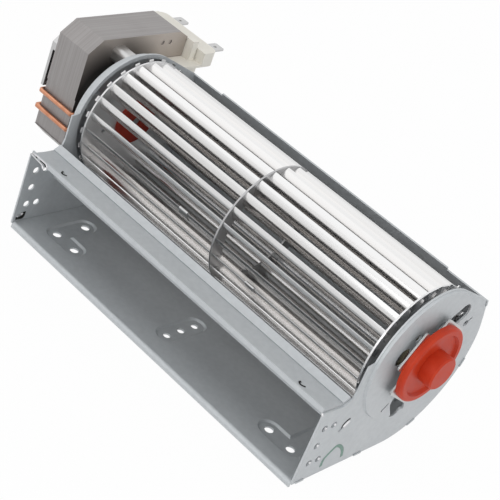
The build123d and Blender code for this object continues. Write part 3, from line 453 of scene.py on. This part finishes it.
# %% Cream nylon
dark, light = (0.82, 0.79, 0.705), (0.86, 0.83, 0.755)
cream_nylon = even_finish("cream_nylon", 0.0, (150,), dark, light, (0.44, 0.54))
dress(["coil_bobbin", "coil_winding"], cream_nylon)

# %% [markdown]
# ## Plated steel
# Shafts, screws, clips, brackets and the spade terminals have a bright tin or zinc plate. It is
# brighter than the housing and shows its surroundings more sharply.

# %% Plated steel
dark, light = (0.49, 0.49, 0.49), (0.55, 0.55, 0.55)
plated_steel = even_finish("plated_steel", 1.0, (90,), dark, light, (0.27, 0.38))
dress(
    [
        "bush_retainer",
        "balance_clips",
        "stub_shaft",
        "motor_shaft",
        "thrust_washers",
        "bearing_clips",
        "motor_through_screws",
        "motor_mount_screws",
        "front_bearing_bracket",
        "rear_bearing_bracket",
        "spade_terminals",
    ],
    plated_steel,
)

# %% [markdown]
# ## Sintered bronze
# The plain bearings are pressed from bronze powder and soaked in oil, so they are a dull
# yellow brown with tiny pores.

# %% Sintered bronze
dark, light = (0.38, 0.27, 0.15), (0.46, 0.33, 0.19)
sintered_bronze = even_finish("sintered_bronze", 0.9, (900,), dark, light, (0.4, 0.6))
dress(["end_bearing", "front_motor_bearing", "rear_motor_bearing"], sintered_bronze)

# %% [markdown]
# ## A bead laid point by point
# The small marks on this fan are all lines of even thickness: a folded edge, a slit, a burr, a
# pen stroke. Extruding a circle along the line would need a turn at every point. It is easier to
# extrude a single point from place to place, turn that chain into a curve with a round bevel,
# and turn the curve back into a mesh. A smooth spline between the points keeps the bends soft.
# A mark that repeats is laid once and copied, so all its copies are alike.

# %% Helper for beads
def lay_bead(name, points, radius, finish, squash=(1, 1, 1)):
    """A bead through points given from the axis in millimetres, pressed flat by squash."""
    places = [at(*point) for point in points]
    leave_nothing_selected()
    bpy.ops.mesh.primitive_plane_add(size=MM, location=places[0])
    bead = bpy.context.object
    bead.name = bead.data.name = name
    bpy.ops.object.transform_apply(location=True, rotation=True, scale=True)
    bpy.ops.object.mode_set(mode="EDIT")
    bpy.ops.mesh.select_mode(type="VERT")
    bpy.ops.mesh.select_all(action="SELECT")
    bpy.ops.mesh.merge(type="CENTER")
    for start, end in zip(places, places[1:]):
        bpy.ops.mesh.extrude_region_move(TRANSFORM_OT_translate={"value": end - start})
    bpy.ops.object.mode_set(mode="OBJECT")
    bpy.ops.object.convert(target="CURVE")
    bead = bpy.context.object
    for spline in bead.data.splines:
        spline.type = "NURBS"
        spline.order_u = 3
        spline.use_endpoint_u = True
        spline.resolution_u = 6
    bead.data.bevel_depth = radius * MM
    bead.data.bevel_resolution = 2
    bead.data.use_fill_caps = True
    bpy.ops.object.convert(target="MESH")
    bead = bpy.context.object
    middle = sum(places, Vector()) / len(places)
    bpy.ops.object.mode_set(mode="EDIT")
    bpy.ops.mesh.select_all(action="SELECT")
    bpy.ops.mesh.remove_doubles(threshold=0.02 * MM)
    bpy.ops.transform.resize(value=squash, center_override=middle)
    bpy.ops.mesh.normals_make_consistent(inside=False)
    bpy.ops.object.mode_set(mode="OBJECT")
    bpy.ops.object.shade_smooth()
    bead.data.materials.clear()
    bead.data.materials.append(finish)
    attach(bead, "housing")
    print(name, "has", len(bead.data.polygons), "faces")
    return bead


def copy_bead(source, name, shift):
    """A copy with its own mesh, moved by a shift given in millimetres."""
    leave_nothing_selected()
    source.select_set(True)
    bpy.context.view_layer.objects.active = source
    bpy.ops.object.duplicate()
    bead = bpy.context.object
    bead.name = bead.data.name = name
    bpy.ops.object.mode_set(mode="EDIT")
    bpy.ops.mesh.select_all(action="SELECT")
    bpy.ops.transform.translate(value=Vector(shift) * MM)
    bpy.ops.object.mode_set(mode="OBJECT")
    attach(bead, "housing")


# %% [markdown]
# ## Bare edge and shadowed gap
# Two small finishes serve these beads. Where the zinc sheet is folded hard its coat is polished,
# so the edge is brighter than the flat. The slits and gaps get hardly any light, so their beads
# are nearly black and matt: painted shade.

# %% Bare edge and shadowed gap
dark, light = (0.55, 0.55, 0.56), (0.65, 0.65, 0.66)
bare_edge = even_finish("bare_edge", 1.0, (500,), dark, light, (0.30, 0.42))
# Painted shade: nearly black, for slits, gaps and crescents.
dark, light = (0.014, 0.014, 0.013), (0.034, 0.033, 0.031)
painted_gap_shade = even_finish("painted_gap_shade", 0.0, (700,), dark, light, (0.78, 0.92), 0.15)
print("bead finishes:", bare_edge.name, painted_gap_shade.name)

# %% [markdown]
# ## Folded end of the lip
# At the motor end the front lip of the stabiliser is slit and pinched. Its two folds show as
# bright lines that part around a dark slit, and the lower one ends in a small curl. The folds
# are beads on the face of the lip. The shade in the slit is painted as a nearly black bead
# pressed flat between them, and a short one marks a pinhole.

# %% Folded end of the lip
LIP_FACE = -52.45
SLIT_FACE = -52.3
PRESSED_ON_LIP = (1, 0.5, 1)
fold = [(-88.0, -10.8), (-86.2, -10.55), (-84.4, -10.5), (-81.1, -10.5), (-79.0, -10.45)]
fold += [(-78.0, -11.0), (-77.8, -12.0)]
lay_bead("lip_upper_fold", [(x, LIP_FACE, z) for x, z in fold], 0.38, bare_edge)
fold = [(-88.6, -11.6), (-85.6, -11.9), (-83.0, -12.05), (-80.9, -12.25), (-80.2, -12.8)]
lay_bead("lip_lower_fold", [(x, LIP_FACE, z) for x, z in fold], 0.38, bare_edge)
curl = [(-80.5, LIP_FACE, -12.5), (-80.1, LIP_FACE - 0.2, -12.9), (-79.8, LIP_FACE, -13.3)]
lay_bead("lip_curl", curl, 0.62, bare_edge)
# Painted shade: the slit and the pinhole are nearly black beads.
slit = [(-82.9, -11.15), (-81.4, -11.2), (-80.0, -11.3), (-79.3, -11.7), (-79.0, -12.2)]
lay_bead("lip_slit", [(x, SLIT_FACE, z) for x, z in slit], 0.42, painted_gap_shade, PRESSED_ON_LIP)
hole = [(-86.0, -11.2), (-85.5, -11.2), (-85.0, -11.25)]
lay_bead("lip_pinhole", [(x, SLIT_FACE, z) for x, z in hole], 0.36, painted_gap_shade, PRESSED_ON_LIP)

# %% [markdown]
# ## Burr on the lip's other end
# At the bearing end the lip's corner is folded over the end plate and polished by handling. It
# shows as one bright point, so it is a short thick bead.

# %% Burr on the lip's other end
burr = [(88.8, -52.3, -12.1), (89.2, -52.45, -12.5), (89.4, -52.4, -13.0)]
lay_bead("lip_burr", burr, 0.5, bare_edge)

# %% [markdown]
# ## Gap at the floor's corner
# Where the floor's front corner meets the motor end plate, a short ear is folded in, with an
# open gap under it. The shadow in the gap is painted: a dark bead pressed flat on the plate. The
# ear's rim is a bright bead just above it.

# %% Gap at the floor's corner
PLATE_FACE = -88.75
PRESSED_ON_PLATE = (0.3, 1, 1)
# Painted shadow under the ear: a dark bead pressed flat on the plate.
gap = [(-50.9, -45.7), (-49.0, -45.75), (-47.3, -45.9), (-46.6, -44.9), (-46.7, -43.0)]
lay_bead("corner_gap_shadow", [(PLATE_FACE, y, z) for y, z in gap], 0.85, painted_gap_shade, PRESSED_ON_PLATE)
rim = [(-50.8, -44.6), (-49.5, -44.3), (-48.3, -44.0), (-47.9, -43.2)]
lay_bead("corner_ear", [(PLATE_FACE + 0.3, y, z) for y, z in rim], 0.4, bare_edge)

# %% [markdown]
# ## Punched marks on the stabiliser
# Two small holes are punched in the stabiliser's top, and each has a nearly black crescent on
# one side, a painted shade beside the hole. One crescent is laid point by point and the other is
# a copy of it with its own mesh, moved along the rotor axis.

# %% Punched marks on the stabiliser
TOP_FACE = -11.66
# Painted shade: a nearly black crescent beside the hole.
crescent = [(-73.5, -47.0), (-73.2, -48.1), (-72.2, -48.6), (-71.0, -48.3), (-70.2, -47.6)]
marks_apart = 145.6
place = [(x, y, TOP_FACE) for x, y in crescent]
mark = lay_bead("punch_mark_left", place, 0.42, painted_gap_shade, (1, 1, 0.3))
copy_bead(mark, "punch_mark_right", (marks_apart, 0, 0))
print("two punched marks,", len(mark.data.polygons), "faces each")

# %% [markdown]
# ## Bright rims in the end plate's holes
# The five small holes of the bearing end plate each catch the light on the far rim, as a bright
# point beside the dark near rim. That polished burr is one short bead, copied to each hole.

# %% Bright rims in the end plate's holes
rims = [(-45.6, -21.7), (-40.1, -21.7), (-45.6, -30.6), (-40.1, -39.4), (-45.6, -39.4)]
y, z = rims[0]
place = [(89.25, y - 0.25, z - 0.3), (89.35, y, z), (89.25, y + 0.25, z + 0.3)]
first_rim = lay_bead("hole_rim_1", place, 0.5, bare_edge)
for number, (rim_y, rim_z) in enumerate(rims[1:], start=2):
    copy_bead(first_rim, f"hole_rim_{number}", (0, rim_y - y, rim_z - z))
print("bright rims:", len(rims))

# %% [markdown]
# ## Tab end in the end plate
# The tab on the stabiliser's hem comes through a slot in the bearing end plate and its end is
# peened over, so it fills the slot as a bright oval with a dark gap along its upper side. The
# oval is a bright bead over the slot, and the shade in the gap is painted as a nearly black bead
# bent around it.

# %% Tab end in the end plate
peened = [(-33.7, -25.2), (-32.6, -24.3), (-31.6, -23.5), (-30.8, -22.7)]
lay_bead("tab_end", [(89.62, y, z) for y, z in peened], 0.85, bare_edge, (0.8, 1, 1))
# Painted shade: the dark gap above the tab end.
gap = [(-34.2, -25.6), (-34.3, -24.2), (-33.3, -22.8), (-32.2, -22.0), (-30.9, -21.9)]
lay_bead("tab_gap_shade", [(89.64, y, z) for y, z in gap], 0.45, painted_gap_shade, PRESSED_ON_PLATE)

# %% [markdown]
# ## Inspection stroke
# A green felt pen has left one plain stroke near the foot of the bearing end plate, as an
# inspector's tick. Ink has almost no thickness, so the bead is pressed to a film. Felt pens
# wet the metal unevenly, which shows as lighter and darker green along the stroke.

# %% Inspection stroke
dark, light = (0.10, 0.19, 0.155), (0.20, 0.33, 0.27)
green_ink = even_finish("green_ink", 0.0, (330,), dark, light, (0.38, 0.55))
stroke = [(-36.5, -44.8), (-37.2, -41.5), (-35.6, -39.4), (-33.4, -37.4), (-31.2, -35.7)]
stroke += [(-28.0, -37.3), (-24.6, -41.0), (-23.7, -44.6)]
ink_film = (0.08, 1, 1)
lay_bead("inspection_stroke", [(89.66, y, z) for y, z in stroke], 0.8, green_ink, ink_film)

# %% [markdown]
